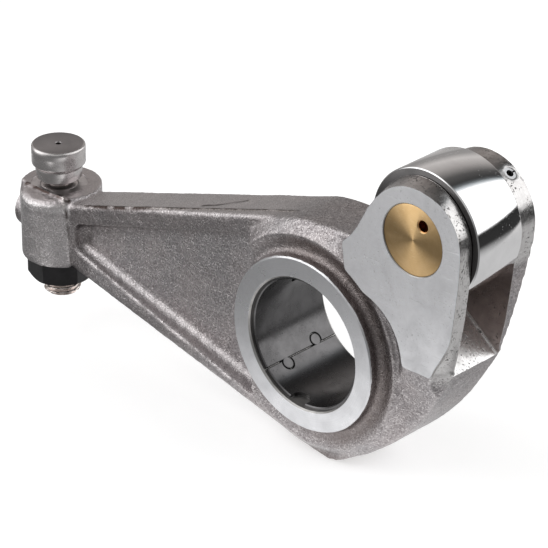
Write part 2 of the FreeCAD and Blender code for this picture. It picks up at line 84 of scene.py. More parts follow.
# The near ear's draft, from places along Y, and how far its lower lobe leans in.
DRAFT_PLACES, DRAFTS = (-16.0, -14.6, -9.7, -8.0), (-1.5, -1.15, 0.5, 0.0)
LOBE_SHIFT = 4.2
# The boss's front edge slopes down from here.
SHOULDER_START, SHOULDER_SLOPE = 7.2, 0.22
# How far cutters reach out of the part: sideways, down and up, and the half width of the slot's box.
ASIDE, BELOW, ABOVE, BOX = 24, -40, 30, 80

# The forging's parting line along the arm's top, the mark beside it, and its run down the boss.
PARTING = [(-127.2, -7.3, 7.6), (-114.8, -7.2, 7.6), (-110.7, -6.5, 7.3), (-105.7, -7.3, 7.2),
           (-90.0, -7.4, 11.6), (-76.0, -7.2, 15.9), (-64.1, -6.9, 19.5), (-44.9, -6.2, 25.4),
           (-31.4, -5.6, 29.5), (-12.0, -4.9, 35.3)]
SIDE_MARK = [(-52.0, -3.4, 23.2), (-47.0, -2.6, 24.7), (-39.5, 2.4, 27.0)]
BOSS_JOINT = [(-110.7, -6.5, 7.3), (-108.6, -7.6, 3.0), (-107.9, -7.8, -6.0), (-107.6, -7.8, -14.5)]

# Places of the cut faces' materials in the casting's list, where 0 is the cast skin.
RING_CUT, EAR_CUT, SLOT_CUT, WALL_CUT, BORE_CUT, SPOT_CUT = range(1, 7)

# Colours of the cast skin and of what lies on it.
SKIN_DIM, SKIN_PALE, SKIN_CLOUD = (0.385, 0.352, 0.357), (0.46, 0.427, 0.43), (0.33, 0.315, 0.325)
GRAIN_BRIGHT, GRAIN_DARK = (0.78, 0.745, 0.735), (0.14, 0.12, 0.12)
# the crease colour is dirt with painted shade, laid where occlusion is high
WORN_METAL, CREASE_SHADE_AND_DIRT, GROOVE_BROWN = (0.78, 0.74, 0.73), (0.12, 0.092, 0.085), (0.20, 0.168, 0.16)
# painted light: the colours for faces that look up, for the boss's side and for the highlight on its
# upper edge
PAINTED_TOP_LIGHT, PAINTED_SIDE_SHEEN, BROW_HIGHLIGHT = (0.80, 0.76, 0.765), (0.80, 0.77, 0.775), (0.90, 0.87, 0.87)
# painted shade below and along the parting line
BOSS_DARK, BAND_SHADE, PARTING_SHADE = (0.34, 0.30, 0.30), (0.16, 0.14, 0.14), (0.07, 0.05, 0.045)
# a painted highlight on the parting line's crest
CREST_HIGHLIGHT, RIM_PALE, RIM_DIM = (0.85, 0.80, 0.78), (0.64, 0.63, 0.625), (0.57, 0.555, 0.55)
RIM_STAIN, PIT_DARK = (0.20, 0.155, 0.14), (0.05, 0.045, 0.042)
# Colours that go over a machined face.
# the edge colour is a painted shade along a face's bevelled edge
SEAM_BLACK, EDGE_SHADE, FACE_DIRT = (0.008, 0.008, 0.008), (0.10, 0.095, 0.095), (0.05, 0.045, 0.04)
# Colours of the bronze pin.
BRONZE_PALE, BRONZE_DEEP, BRONZE_LINE = (0.80, 0.56, 0.29), (0.72, 0.49, 0.24), (0.50, 0.31, 0.13)
BRONZE_MARK, BRONZE_HOLE = (0.92, 0.74, 0.46), (0.86, 0.42, 0.16)


# Helpers for meshes
def link(name, mesh):
    obj = bpy.data.objects.new(name, mesh)
    bpy.context.scene.collection.objects.link(obj)
    return obj


def from_bmesh(name, bm):
    bmesh.ops.recalc_face_normals(bm, faces=bm.faces)
    mesh = bpy.data.meshes.new(name)
    bm.to_mesh(mesh)
    bm.free()
    return link(name, mesh)


def lathe(name, profile, centre=(0.0, 0.0), axis="Y", segments=192, closed=True, slot=0):
    """A turned solid from (radius, place along the axis, slot of the strip that starts there)."""
    bm = bmesh.new()
    rings = []
    for step in profile:
        ring = []
        for i in range(segments):
            turn = 2 * math.pi * i / segments
            a, b = centre[0] + step[0] * math.cos(turn), centre[1] + step[0] * math.sin(turn)
            place = (a, step[1], b) if axis == "Y" else (a, b, step[1])
            ring.append(bm.verts.new(Vector(place) * MM))
        rings.append(ring)
    count = len(rings) if closed else len(rings) - 1
    for k in range(count):
        low, high = rings[k], rings[(k + 1) % len(rings)]
        for i in range(segments):
            j = (i + 1) % segments
            face = bm.faces.new((low[i], low[j], high[j], high[i]))
            face.material_index = profile[k][2] if len(profile[k]) > 2 else slot
    bmesh.ops.remove_doubles(bm, verts=bm.verts, dist=1e-8)
    return from_bmesh(name, bm)


def rod(name, start, end, radius, segments=64, slot=0):
    """A cylinder between two points, in millimetres."""
    start, end = Vector(start) * MM, Vector(end) * MM
    bm = bmesh.new()
    bmesh.ops.create_cone(bm, cap_ends=True, segments=segments, radius1=radius * MM,
                          radius2=radius * MM, depth=(end - start).length)
    turn = (end - start).to_track_quat("Z", "Y").to_matrix().to_4x4()
    bmesh.ops.transform(bm, matrix=Matrix.Translation((start + end) / 2) @ turn, verts=bm.verts)
    for face in bm.faces:
        face.material_index = slot
    return from_bmesh(name, bm)


def prism(name, corners, low, high, slot=0):
    """A side-view outline of (x, z) corners between two places along Y."""
    bm = bmesh.new()
    near = [bm.verts.new(Vector((x, low, z)) * MM) for x, z in corners]
    far = [bm.verts.new(Vector((x, high, z)) * MM) for x, z in corners]
    bm.faces.new(near)
    bm.faces.new(far[::-1])
    for i in range(len(corners)):
        j = (i + 1) % len(corners)
        bm.faces.new((near[i], far[i], far[j], near[j]))
    for face in bm.faces:
        face.material_index = slot
    return from_bmesh(name, bm)


def bore_profile(radius, near, far, chamfer):
    """A cutter for a bore from -near to far, with a chamfer at both ends."""
    return [(0, -ASIDE), (radius + ASIDE - near + chamfer, -ASIDE), (radius, chamfer - near),
            (radius, far - chamfer), (radius + ASIDE - far + chamfer, ASIDE), (0, ASIDE)]


def apply_modifiers(obj):
    graph = bpy.context.evaluated_depsgraph_get()
    mesh = bpy.data.meshes.new_from_object(obj.evaluated_get(graph))
    obj.modifiers.clear()
    old = obj.data
    obj.data = mesh
    bpy.data.meshes.remove(old)


def boolean(obj, tool, operation="DIFFERENCE"):
    for material in obj.data.materials:
        tool.data.materials.append(material)
    modifier = obj.modifiers.new("cut", "BOOLEAN")
    modifier.operation = operation
    modifier.solver = "MANIFOLD"
    modifier.object = tool
    apply_modifiers(obj)
    bpy.data.objects.remove(tool)


def joined(name, objs):
    """Several objects' meshes as one object, with no boolean."""
    bm = bmesh.new()
    for obj in objs:
        bm.from_mesh(obj.data)
        bpy.data.objects.remove(obj)
    mesh = bpy.data.meshes.new(name)
    bm.to_mesh(mesh)
    bm.free()
    return link(name, mesh)


def shade(obj, angle=32.0):
    obj.data.polygons.foreach_set("use_smooth", [True] * len(obj.data.polygons))
    obj.data.set_sharp_from_angle(angle=math.radians(angle))


# Helpers for materials
class Graph:
    """Short ways to add nodes to a tree. Values that are sockets are linked, others are set."""

    def __init__(self, tree):
        self.tree = tree

    def plug(self, socket, value):
        if hasattr(value, "is_linked"):
            self.tree.links.new(value, socket)
        else:
            socket.default_value = value

    def add(self, kind, inputs=(), out=0, **settings):
        """Adds a node: its settings, its inputs by name or place, and the output that is returned."""
        node = self.tree.nodes.new(kind)
        for key, value in settings.items():
            setattr(node, key, value)
        for key, value in dict(inputs).items():
            self.plug(node.inputs[key], value)
        return node.outputs[out]

    def remap(self, value, low, high, to_low=0.0, to_high=1.0, smooth=False):
        inputs = {"Value": value, "From Min": low, "From Max": high, "To Min": to_low, "To Max": to_high}
        return self.add("ShaderNodeMapRange", inputs,
                        interpolation_type="SMOOTHSTEP" if smooth else "LINEAR")

    def math(self, operation, a, b=0.0):
        return self.add("ShaderNodeMath", {0: a, 1: b}, operation=operation)

    def product(self, first, *others):
        for other in others:
            first = self.math("MULTIPLY", first, other)
        return first

    def vector(self, operation, a, b=(0, 0, 0), out=0):
        return self.add("ShaderNodeVectorMath", {0: a, 1: b}, out, operation=operation)

    def length(self, a):
        return self.vector("LENGTH", a, out=1)

    def distance(self, a, b):
        return self.vector("DISTANCE", a, b, 1)

    def dot(self, a, b):
        return self.vector("DOT_PRODUCT", a, b, 1)

    def scaled(self, a, scale):
        return self.add("ShaderNodeVectorMath", {0: a, "Scale": scale}, operation="SCALE")

    def mix(self, factor, a, b):
        if isinstance(a, (int, float)) or isinstance(b, (int, float)):
            return self.add("ShaderNodeMix", {0: factor, 2: a, 3: b})
        a, b = ((*c, 1.0) if isinstance(c, (tuple, list)) else c for c in (a, b))
        return self.add("ShaderNodeMix", {0: factor, 6: a, 7: b}, 2, data_type="RGBA")


class Shader(Graph):
    """A material with its Principled BSDF. Places and sizes are in millimetres, in the part's frame."""

    def __init__(self, name, **values):
        self.material = bpy.data.materials.new(name)
        self.material.use_nodes = True
        super().__init__(self.material.node_tree)
        self.bsdf = self.tree.nodes["Principled BSDF"]
        self.values(**values)
        self.place = self.scaled(self.add("ShaderNodeTexCoord", out="Object"), 1 / MM)

    def values(self, **values):
        for key, value in values.items():
            self.plug(self.bsdf.inputs[key.replace("_", " ")], value)

    def noise(self, size, detail=3.0, roughness=0.6, distortion=0.0, stretch=(1, 1, 1), shift=0.0):
        vector = self.place
        if stretch != (1, 1, 1) or shift:
            inputs = {"Vector": self.place, "Scale": stretch, "Location": (shift,) * 3}
            vector = self.add("ShaderNodeMapping", inputs)
        return self.add("ShaderNodeTexNoise", {"Vector": vector, "Scale": 1.0 / size, "Detail": detail,
                                               "Roughness": roughness, "Distortion": distortion})

    def bump(self, height, depth, normal=None):
        """Adds relief of that depth."""
        inputs = {"Height": height, "Distance": depth * MM}
        if normal is not None:
            inputs["Normal"] = normal
        return self.add("ShaderNodeBump", inputs)

    def bevel(self, radius):
        return self.add("ShaderNodeBevel", {"Radius": radius * MM}, samples=4)

    def occlusion(self, distance):
        return self.add("ShaderNodeAmbientOcclusion", {"Distance": distance * MM}, "AO", samples=6)

    def part(self, axis):
        """The shaded point's place along that axis."""
        return self.add("ShaderNodeSeparateXYZ", {0: self.place}, axis)

    def face_normal(self):
        return self.add("ShaderNodeNewGeometry", out="True Normal")

    def facing(self, axis):
        """How far the face looks along that axis, from -1 to 1."""
        return self.add("ShaderNodeSeparateXYZ", {0: self.face_normal()}, axis)

    def flat_from(self, centre, axis):
        """The vector away from that axis."""
        away = self.vector("SUBTRACT", self.place, centre)
        return self.vector("MULTIPLY", away, (1, 0, 1) if axis == "Y" else (1, 1, 0))

    def from_axis(self, centre, axis="Y"):
        """Distance from that axis."""
        return self.length(self.flat_from(centre, axis))

    def across(self, centre, axis="Y"):
        """Unit vector away from that axis, which runs across turned lines."""
        world = self.add("ShaderNodeVectorTransform", {0: self.flat_from(centre, axis)},
                         vector_type="VECTOR", convert_from="OBJECT", convert_to="WORLD")
        return self.vector("NORMALIZE", world)

    def from_line(self, points, place):
        """Distance from a line through those points."""
        nearest = None
        for start, end in zip(points, points[1:]):
            run = Vector(end) - Vector(start)
            away = self.vector("SUBTRACT", place, start)
            along = self.dot(away, tuple(run / run.length_squared))
            along = self.add("ShaderNodeClamp", {0: along})
            length = self.length(self.vector("SUBTRACT", away, self.scaled(tuple(run), along)))
            nearest = length if nearest is None else self.math("MINIMUM", nearest, length)
        return nearest

    def from_seam(self):
        """Distance from the bushing's seam: straight runs and two loops, unrolled round the bore."""
        cos, sin = math.cos(SEAM_ANGLE), math.sin(SEAM_ANGLE)
        rise = self.dot(self.place, (-sin, 0, cos))
        front = self.dot(self.place, (cos, 0, sin))
        along = self.part("Y")
        beside = self.math("ABSOLUTE", self.math("SUBTRACT", self.math("ABSOLUTE", along), LOOP_PLACE))
        half_gap = math.sqrt(LOOP_R ** 2 - LOOP_RISE ** 2)
        runs = self.math("MAXIMUM", self.math("ABSOLUTE", rise), self.math("SUBTRACT", half_gap, beside))
        flat = self.add("ShaderNodeCombineXYZ", {"X": along, "Y": rise})
        nearest = runs
        for side in (1, -1):
            away = self.distance(flat, (-side * LOOP_PLACE, side * LOOP_RISE, 0))
            ring = self.math("ABSOLUTE", self.math("SUBTRACT", away, LOOP_R))
            ring = self.math("MAXIMUM", ring, self.math("MULTIPLY", rise, -side))
            nearest = self.math("MINIMUM", nearest, ring)
        return self.math("MAXIMUM", nearest, self.remap(front, 0.0, 2.0, 5.0, 0.0))

    def grooves(self, radius, pitch):
        """Fine turned lines: a noise that only changes with the distance from the axis."""
        line = self.add("ShaderNodeCombineXYZ", {"X": radius})
        return self.add("ShaderNodeTexNoise", {"Vector": line, "Scale": 1.0 / pitch, "Detail": 4.0,
                                               "Roughness": 0.7})


def cast_steel():
    s = Shader("cast_steel", Metallic=1.0)
    large = s.noise(18.0, 3, 0.55)
    patch = s.noise(3.6, 4, 0.62, 0.4)
    grain = s.noise(0.46, 3.0, 0.7)
    fine = s.noise(0.22, 2, 0.6, shift=11.0)
    cells = s.add("ShaderNodeTexVoronoi", {"Vector": s.place, "Scale": 1 / 0.36}, "Color")
    cells = s.add("ShaderNodeSeparateXYZ", {0: cells}, "X")
    x, y, z = s.part("X"), s.part("Y"), s.part("Z")
    outside = s.math("ABSOLUTE", y)
    up = s.facing("Z")
    from_bore = s.from_axis((0, 0, 0))
    from_screw = s.from_axis((SCREW_X, 0, 0), "Z")
    from_pin = s.from_axis((EAR_X, 0, PIN_Z))

    # the skin's clouds and grain, bright on worn edges, with dirt and painted shade in its creases
    tone = s.mix(s.remap(patch, 0.38, 0.66), SKIN_DIM, SKIN_PALE)
    tone = s.mix(s.remap(large, 0.42, 0.60, 0.0, 0.7), tone, SKIN_CLOUD)
    tone = s.mix(s.remap(cells, 0.72, 1.0, 0.0, 0.6), tone, GRAIN_BRIGHT)
    tone = s.mix(s.remap(cells, 0.32, 0.0, 0.0, 0.7), tone, GRAIN_DARK)
    worn = s.remap(s.add("ShaderNodeNewGeometry", out="Pointiness"), 0.515, 0.575)
    tone = s.mix(s.product(worn, 0.55), tone, WORN_METAL)
    # painted shade with dirt, darkening the creases where occlusion is high
    tone = s.mix(s.remap(s.occlusion(5.0), 0.28, 0.90), CREASE_SHADE_AND_DIRT, tone)

    # brown in the groove round the ring
    right = s.remap(x, -8.0, 14.0, smooth=True)
    around = s.math("MAXIMUM", right, s.remap(s.math("ADD", x, z), 2.0, 24.0))
    groove = s.product(s.remap(from_bore, 35.0, 30.5, smooth=True), around, s.remap(outside, 9.5, 11.5))
    tone = s.mix(s.product(groove, s.remap(patch, 0.3, 0.7, 0.5, 0.8)), tone, GROOVE_BROWN)

    # painted light: faces that look up are brighter, and a painted sheen brightens the boss's side
    top_light = s.product(s.remap(up, 0.3, 0.8, 0.0, 0.42), s.remap(x, -6.0, -26.0))
    tone = s.mix(top_light, tone, PAINTED_TOP_LIGHT)
    side = s.product(s.remap(from_screw, 14.5, 13.5), s.remap(z, 4.0, 1.0))
    tone = s.mix(s.product(side, 0.4), tone, PAINTED_SIDE_SHEEN)

    # the boss's top is smoother and darker, with a painted highlight along its upper edge
    top = s.product(s.remap(from_screw, 13.3, 12.3), s.remap(z, 4.9, 5.7))
    tone = s.mix(s.product(top, 0.4), tone, BOSS_DARK)
    brow_highlight = s.product(s.remap(z, 2.2, 3.4), s.remap(z, 6.0, 5.0), s.remap(from_screw, 11.6, 12.2),
                     s.remap(from_screw, 14.6, 14.0))
    tone = s.mix(s.product(brow_highlight, 0.55), tone, BROW_HIGHLIGHT)

    # the parting line has a strip of painted shade below it, painted shade on its dark side and a painted
    # highlight on its crest
    wobble = s.scaled(s.noise(2.5, 2, 0.5, shift=23.0), 0.5)
    place = s.vector("SUBTRACT", s.vector("ADD", s.place, wobble), (0.25, 0.25, 0.25))
    joint = s.math("ADD", s.from_line(BOSS_JOINT, place), 0.4)
    line = s.math("MINIMUM", s.from_line(PARTING, place), joint)
    band_shade = s.product(s.remap(line, 9.5, 7.5), s.remap(up, 0.4, 0.1), s.remap(from_screw, 13.5, 15.0))
    tone = s.mix(s.product(band_shade, 0.4), tone, BAND_SHADE)
    shadow = s.math("MINIMUM", line, s.from_line(SIDE_MARK, place))
    broken = s.remap(s.noise(4.0, 2, 0.5, shift=41.0), 0.35, 0.52, 0.4, 1.0)
    # painted shade along the parting line's dark side and the mark beside it
    dark = s.product(s.remap(shadow, 1.2, 0.5), broken)
    tone = s.mix(dark, tone, PARTING_SHADE)
    # painted highlight along the parting line's crest
    crest_place = s.vector("ADD", place, (0.0, 0.75, -0.5))
    crest = s.remap(s.from_line(PARTING + BOSS_JOINT[::-1], crest_place), 0.55, 0.25)
    tone = s.mix(s.product(crest, s.remap(grain, 0.42, 0.56)), tone, CREST_HIGHLIGHT)

    # the ears' outer rims are cleaned up, brighter and pitted, and stained brown on top
    rim = s.product(s.remap(from_pin, 20.5, 19.2), s.remap(outside, 9.2, 9.9), s.remap(z, 22.0, 34.0))
    flank = s.product(s.remap(s.facing("X"), 0.25, 0.5), s.remap(y, -8.8, -9.6), s.remap(z, 2.0, 8.0),
                      s.remap(x, 43.0, 46.0))
    rim = s.math("MAXIMUM", rim, flank)
    pits = s.product(s.remap(s.noise(0.62, 2, 0.5, shift=7.0), 0.59, 0.64),
                     s.remap(s.noise(5.0, 2, 0.5, shift=13.0), 0.42, 0.56))
    clean = s.mix(s.remap(s.noise(1.6, 3, 0.6, shift=17.0), 0.35, 0.65), RIM_PALE, RIM_DIM)
    stain = s.remap(s.math("ADD", z, s.product(patch, 4.0)), 64.0, 68.0, 0.0, 0.65)
    clean = s.mix(stain, clean, RIM_STAIN)
    clean = s.mix(pits, clean, PIT_DARK)

    rough = s.mix(top, s.remap(cells, 0.0, 1.0, 0.38, 0.24), 0.30)
    rough = s.mix(rim, rough, s.remap(patch, 0.35, 0.65, 0.18, 0.26))
    relief = s.product(grain, s.remap(rim, 0.0, 1.0, 1.0, 0.10), s.remap(top, 0.0, 1.0, 1.0, 0.35))
    relief = s.math("SUBTRACT", relief, s.product(pits, rim, 0.4))
    relief = s.math("SUBTRACT", relief, s.product(dark, 0.5))
    normal = s.bump(relief, 0.16)
    normal = s.bump(fine, 0.02, normal)
    normal = s.bump(s.product(patch, s.remap(rim, 0.0, 1.0, 1.0, 0.1)), 0.45, normal)
    s.values(Base_Color=s.mix(rim, tone, clean), Roughness=rough, Normal=normal)
    return s.material


def machined(name, base, rough, metallic=1.0, centre=None, axis="Y", pitch=0.25, line_depth=0.004,
             aniso=0.0, smudge=0.5, speckle=0.0, scratch=0.0, bevel=0.0, tint=None, mottle=4.0,
             side=False, dust=0.0, seam=False, rim=0.0):
    """A cut or ground metal face. A centre gives turned lines round that axis, on an end or a side."""
    s = Shader(name, Metallic=metallic)
    if aniso:
        s.values(Anisotropic=aniso)
    soft = s.noise(mottle, 4, 0.6, 0.3)
    fine = s.noise(0.35, 3, 0.7)
    dull = [c * 0.62 for c in base]
    bright = [min(1.0, c * 1.1) for c in base]
    smudged = [c * (1 - 0.35 * smudge) for c in base]
    colour = s.mix(s.remap(soft, 0.35, 0.68), bright, smudged)
    if tint:
        colour = s.mix(s.remap(s.noise(9.0, 2, 0.5, shift=31.0), 0.42, 0.62, 0.0, 0.6), colour, tint)
    if seam:
        colour = s.mix(s.remap(s.from_seam(), 0.42, 0.22), colour, SEAM_BLACK)
    normal = s.bevel(bevel) if bevel else None
    if rim:
        # a thin line of painted shade along the face's edge, where the bevel turns its normal
        edge = s.remap(s.dot(normal, s.face_normal()), 0.9995, 0.985, 0.0, rim)
        colour = s.mix(edge, colour, EDGE_SHADE)
    if speckle:
        dots = s.remap(s.noise(0.75, 2, 0.5, shift=7.0), 0.60, 0.68, 0.0, speckle)
        dots = s.product(dots, s.remap(s.noise(6.0, 2, 0.5, shift=13.0), 0.45, 0.6))
        colour = s.mix(dots, colour, FACE_DIRT)
        normal = s.bump(s.remap(dots, 0.0, 1.0, 1.0, 0.0), 0.12, normal)
    if scratch:
        marks = s.noise(0.5, 2, 0.5, stretch=(0.05, 1.0, 1.0), shift=3.0)
        marks = s.remap(marks, 0.66, 0.74, 0.0, scratch)
        colour = s.mix(marks, colour, dull)
        normal = s.bump(s.remap(marks, 0, 1, 1, 0), 0.03, normal)
    roughness = s.remap(soft, 0.3, 0.7, rough * 0.85, rough * 1.2)
    if dust:
        specks = s.product(s.remap(s.noise(0.5, 2, 0.5, shift=19.0), 0.66, 0.70),
                           s.remap(s.noise(7.0, 2, 0.5, shift=29.0), 0.45, 0.6, 0.2, 1.0))
        roughness = s.mix(s.product(specks, dust), roughness, 0.75)
    if centre:
        lines = s.grooves(s.part(axis) if side else s.from_axis(centre, axis), pitch)
        colour = s.mix(s.remap(lines, 0.35, 0.65, 0.0, 0.35), colour, dull)
        normal = s.bump(lines, line_depth, normal)
        if aniso:
            s.values(Tangent=(0.0, 0.0, 1.0) if side else s.across(centre, axis))
    normal = s.bump(fine, 0.006, normal)
    s.values(Base_Color=colour, Roughness=roughness, Normal=normal)
    return s.material


def bronze():
    s = Shader("bronze", Metallic=1.0, Anisotropic=0.96)
    centre = (PIN_X, 0, PIN_Z)
    lines = s.grooves(s.from_axis(centre), 0.2)
    soft = s.noise(3.0, 3, 0.6, 0.5)
    colour = s.mix(s.remap(soft, 0.35, 0.65), BRONZE_PALE, BRONZE_DEEP)
    colour = s.mix(s.remap(lines, 0.36, 0.64, 0.0, 0.4), colour, BRONZE_LINE)
    marks = s.remap(s.noise(0.4, 2, 0.5, stretch=(0.2, 1.0, 1.0), shift=5.0), 0.68, 0.74, 0.0, 0.4)
    colour = s.mix(marks, colour, BRONZE_MARK)
    # the oil hole's wall is redder, from just inside the face
    x, z = oil_hole()
    inside = s.product(s.remap(s.from_axis((x, 0, z)), 2.1, 1.9),
                       s.remap(s.part("Y"), 0.35 - NEAR_EAR, 0.5 - NEAR_EAR))
    colour = s.mix(inside, colour, BRONZE_HOLE)
    s.values(Base_Color=colour, Roughness=s.remap(soft, 0.3, 0.7, 0.30, 0.36), Tangent=s.across(centre),
             Normal=s.bump(lines, 0.003))
    return s.material


def oil_hole():
    """Where the hole in the bronze pin's near face is, in the side view."""
    return PIN_X + OIL_PLACE * math.cos(OIL_ANGLE), PIN_Z + OIL_PLACE * math.sin(OIL_ANGLE)


def lock_place(distance):
    """The place on the spring pin's axis at that distance from the roller pin's axis."""
    return PIN_X + distance * math.cos(LOCK_ANGLE), LOCK_Y, PIN_Z + distance * math.sin(LOCK_ANGLE)


def gallery_place(distance):
    """The place on the pad's tilted drilling at that distance inside the pad's face."""
    return (PAD_FACE_X + distance * math.cos(GALLERY_TILT), 0,
            PAD_Z + distance * math.sin(GALLERY_TILT))


BORE_AXIS, PIN_AXIS, SCREW_AXIS = (0, 0, 0), (PIN_X, 0, PIN_Z), (SCREW_X, 0, 0)
CAST = cast_steel()
RING = machined("ring_face", (0.78, 0.78, 0.80), 0.30, centre=BORE_AXIS, pitch=0.22, aniso=0.15,
                bevel=0.3, smudge=0.3, mottle=8.0, speckle=0.08)
EAR = machined("ear_face", (0.86, 0.86, 0.88), 0.42, smudge=0.55, scratch=0.6, speckle=0.25, bevel=0.3,
               mottle=9.0, rim=0.6)
SLOT = machined("slot_face", (0.88, 0.87, 0.865), 0.27, smudge=0.6, speckle=0.7, scratch=0.5,
                bevel=0.3, mottle=3.0)
SLOT_WALL = machined("slot_wall", (0.38, 0.325, 0.31), 0.36, smudge=0.6, speckle=0.9, scratch=0.3,
                     bevel=0.3)
BORE = machined("bore_wall", (0.40, 0.39, 0.38), 0.38, smudge=0.5)
SPOT = machined("spot_face", (0.62, 0.585, 0.585), 0.36, centre=SCREW_AXIS, axis="Z", pitch=0.3,
                smudge=0.6, bevel=0.3)
BRONZE = bronze()
MIRROR = machined("roller_ground", (0.78, 0.775, 0.78), 0.06, smudge=0.06, mottle=10.0, dust=0.5)
# the roller's sides are painted dark, a painted shade for the narrow gaps beside the ears
SHADED_ROLLER_SIDE = machined("roller_side_shaded", (0.13, 0.125, 0.125), 0.24, centre=PIN_AXIS, pitch=0.2,
                       aniso=0.3, smudge=0.3)
BUSH = machined("bushing_metal", (0.135, 0.132, 0.134), 0.25, smudge=0.5, speckle=0.15, mottle=5.0,
                seam=True)
FOOT = machined("foot_ground", (0.68, 0.65, 0.645), 0.26, centre=SCREW_AXIS, axis="Z", pitch=0.35,
                line_depth=0.008, aniso=0.6, smudge=0.6, side=True)
FOOT_TOP_FACE = machined("foot_face", (0.32, 0.302, 0.306), 0.34, centre=SCREW_AXIS, axis="Z",
                         pitch=0.3, smudge=0.25, mottle=8.0)
THREAD = machined("thread_steel", (0.88, 0.80, 0.765), 0.24, smudge=0.7, tint=(0.42, 0.33, 0.27))
NECK = machined("neck_steel", (0.55, 0.51, 0.50), 0.34, smudge=0.5)
OXIDE = machined("black_oxide", (0.052, 0.050, 0.052), 0.34, metallic=0.9, smudge=0.6, speckle=0.2,
                 bevel=0.35)
SPRING = machined("spring_steel", (0.58, 0.58, 0.59), 0.26, smudge=0.3)
PLUG = machined("plug_steel", (0.46, 0.45, 0.44), 0.36, smudge=0.6)
# The cast skin, and the cut faces' materials in the order of RING_CUT and the names beside it.
CAST_SLOTS = [CAST, RING, EAR, SLOT, SLOT_WALL, BORE, SPOT]


# The casting
def add_stock(bm, normal, offset):
    """Machining allowance on the solid's flat faces at that offset along that normal."""
    normal = Vector(normal)
    faces = [f for f in bm.faces if all(abs(v.co.dot(normal) - offset * MM) < 2e-5 for v in f.verts)]
    copied = bmesh.ops.duplicate(bm, geom=faces)["geom"]
    copied = [g for g in copied if isinstance(g, bmesh.types.BMFace)]
    base = {v for f in copied for v in f.verts}
    grown = bmesh.ops.extrude_face_region(bm, geom=copied)["geom"]
    top = [g for g in grown if isinstance(g, bmesh.types.BMVert)]
    for v in top:
        v.co += normal * STOCK * MM
    for v in base - set(top):
        v.co -= normal * ROOT * MM


def ramp(value, low, high):
    """0 below low, 1 above high and smooth between them."""
    share = np.clip((value - low) / (high - low), 0.0, 1.0)
    return share * share * (3 - 2 * share)


def away_from(points, place):
    """Each place's distance from a line through those points."""
    nearest = np.full(len(place), np.inf)
    for start, end in zip(np.array(points), np.array(points[1:])):
        run = end - start
        share = np.clip((place - start) @ run / (run @ run), 0.0, 1.0)
        nearest = np.minimum(nearest, np.linalg.norm(place - start - share[:, None] * run, axis=1))
    return nearest


def reshaped(place, normals):
    """The forged skin's own turns: the near ear's draft, the boss's shoulder and the parting line."""
    x, y, z = place.T
    out = place.copy()
    dx, dz = x - EAR_X, z - PIN_Z
    radius = np.maximum(np.hypot(dx, dz), 1.0)
    angle = np.degrees(np.arctan2(dz, dx))
    draft = np.interp(y, DRAFT_PLACES, DRAFTS)
    draft *= ramp(radius, 14.0, 16.0) * ramp(angle, 35, 85) * ramp(-angle, -170, -130)
    out[:, 0] += draft * dx / radius
    out[:, 2] += draft * dz / radius
    lobe = ramp(-y, 10.0, 13.5) * ramp(x, 38.0, 55.0) * ramp(-z, -22.0, -6.0) * ramp(z, -4.0, 5.0)
    out[:, 0] -= LOBE_SHIFT * lobe
    from_screw = np.hypot(x - SCREW_X, y)
    on_top = ramp(z, 3.5, 6.0) * ramp(-from_screw, -14.5, -13.6)
    out[:, 2] -= SHOULDER_SLOPE * on_top * np.clip(-SHOULDER_START - y, 0.0, 6.0)
    ridge = np.exp(-(away_from(PARTING, place) / RIDGE_WIDTH) ** 2)
    ridge += 0.7 * np.exp(-(away_from(BOSS_JOINT, place) / RIDGE_WIDTH) ** 2)
    out += normals * (RIDGE_HEIGHT * ridge)[:, None]
    return out


def raw_casting():
    """The solid with stock on its machined faces and its bores filled."""
    bm = bmesh.new()
    bm.from_mesh(nodes["rocker_body"].data)
    bmesh.ops.remove_doubles(bm, verts=bm.verts, dist=3e-6)
    near, far = (0, -1, 0), (0, 1, 0)
    for normal, offset in ((near, RING_HALF), (far, RING_HALF), (near, NEAR_EAR), (far, FAR_EAR),
                           (far, -SLOT_HALF), (near, -SLOT_HALF), (FLOOR_NORMAL, FLOOR_OFFSET),
                           ((0, 0, -1), -BOSS_BOTTOM), ((-1, 0, 0), -PAD_FACE_X)):
        add_stock(bm, normal, offset)
    body = from_bmesh("rocker_casting", bm)
    pad_z = PAD_Z - STOCK * math.sin(GALLERY_TILT)
    gallery_end = (SCREW_X + math.cos(GALLERY_TILT), 0, PAD_Z + 2.2)
    fillers = [
        rod("fill", (0, -RING_HALF - STOCK, 0), (0, RING_HALF + STOCK, 0), BORE_R + 1.2, 96),
        rod("fill", (PIN_X, -NEAR_EAR - STOCK, PIN_Z), (PIN_X, FAR_EAR + STOCK, PIN_Z), PIN_R + 1.0),
        rod("fill", (SCREW_X, 0, BOSS_BOTTOM - STOCK), (SCREW_X, 0, BOSS_TOP - 0.4), SCREW_R + 1.05),
        rod("fill", (PAD_FACE_X - STOCK, 0, pad_z), gallery_end, GALLERY_R + 0.9),
        rod("fill", *FEED_DRILLING, 1.7),
        rod("fill", lock_place(7), lock_place(16.8), LOCK_R + 0.9),
    ]
    return joined("rocker_casting", [body] + fillers)


